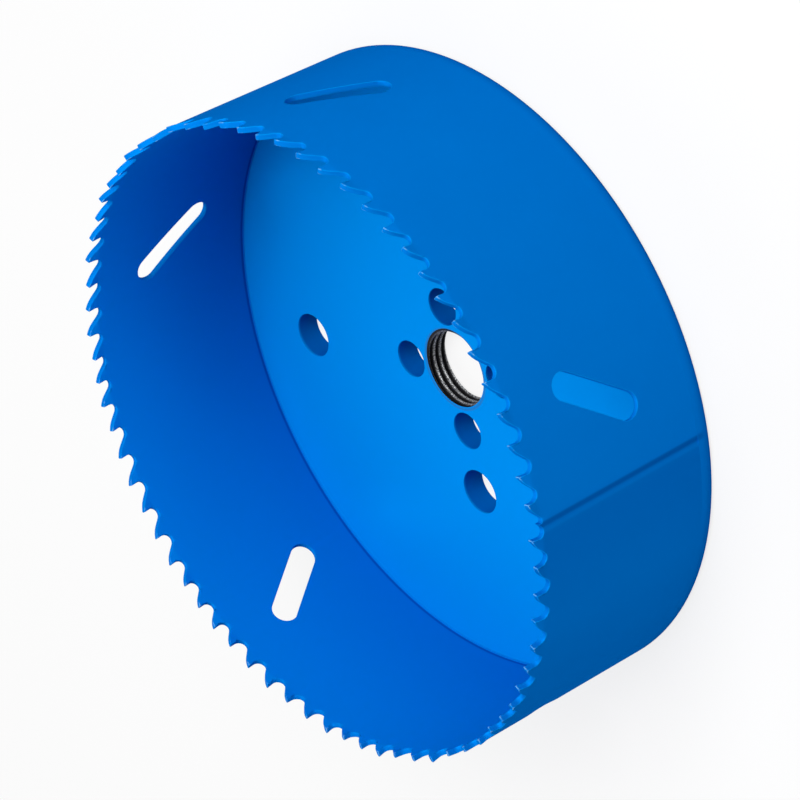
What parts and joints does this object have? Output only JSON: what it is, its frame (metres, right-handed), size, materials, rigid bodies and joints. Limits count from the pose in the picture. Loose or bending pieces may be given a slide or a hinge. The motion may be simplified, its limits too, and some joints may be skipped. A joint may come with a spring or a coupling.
{
  "type": "hole saw",
  "caption": "Large-diameter cup-shaped hole saw: a toothed, slotted steel band welded to a round back plate with a threaded arbor bore, drive pin holes and larger plate holes.",
  "frame": {"origin": "centre of the back plate's outer face, on the cup's axis", "axes": "+Z along the cup's axis, from the back plate towards the tooth tips; +X through a drive pin hole and an outer plate hole"},
  "size_m": [0.1209, 0.1209, 0.0417],
  "materials": {
    "saw_paint": "satin"
  },
  "bodies": {
    "root": {"toothed_band": "saw_paint", "back_plate": "saw_paint"}
  },
  "joints": []
}
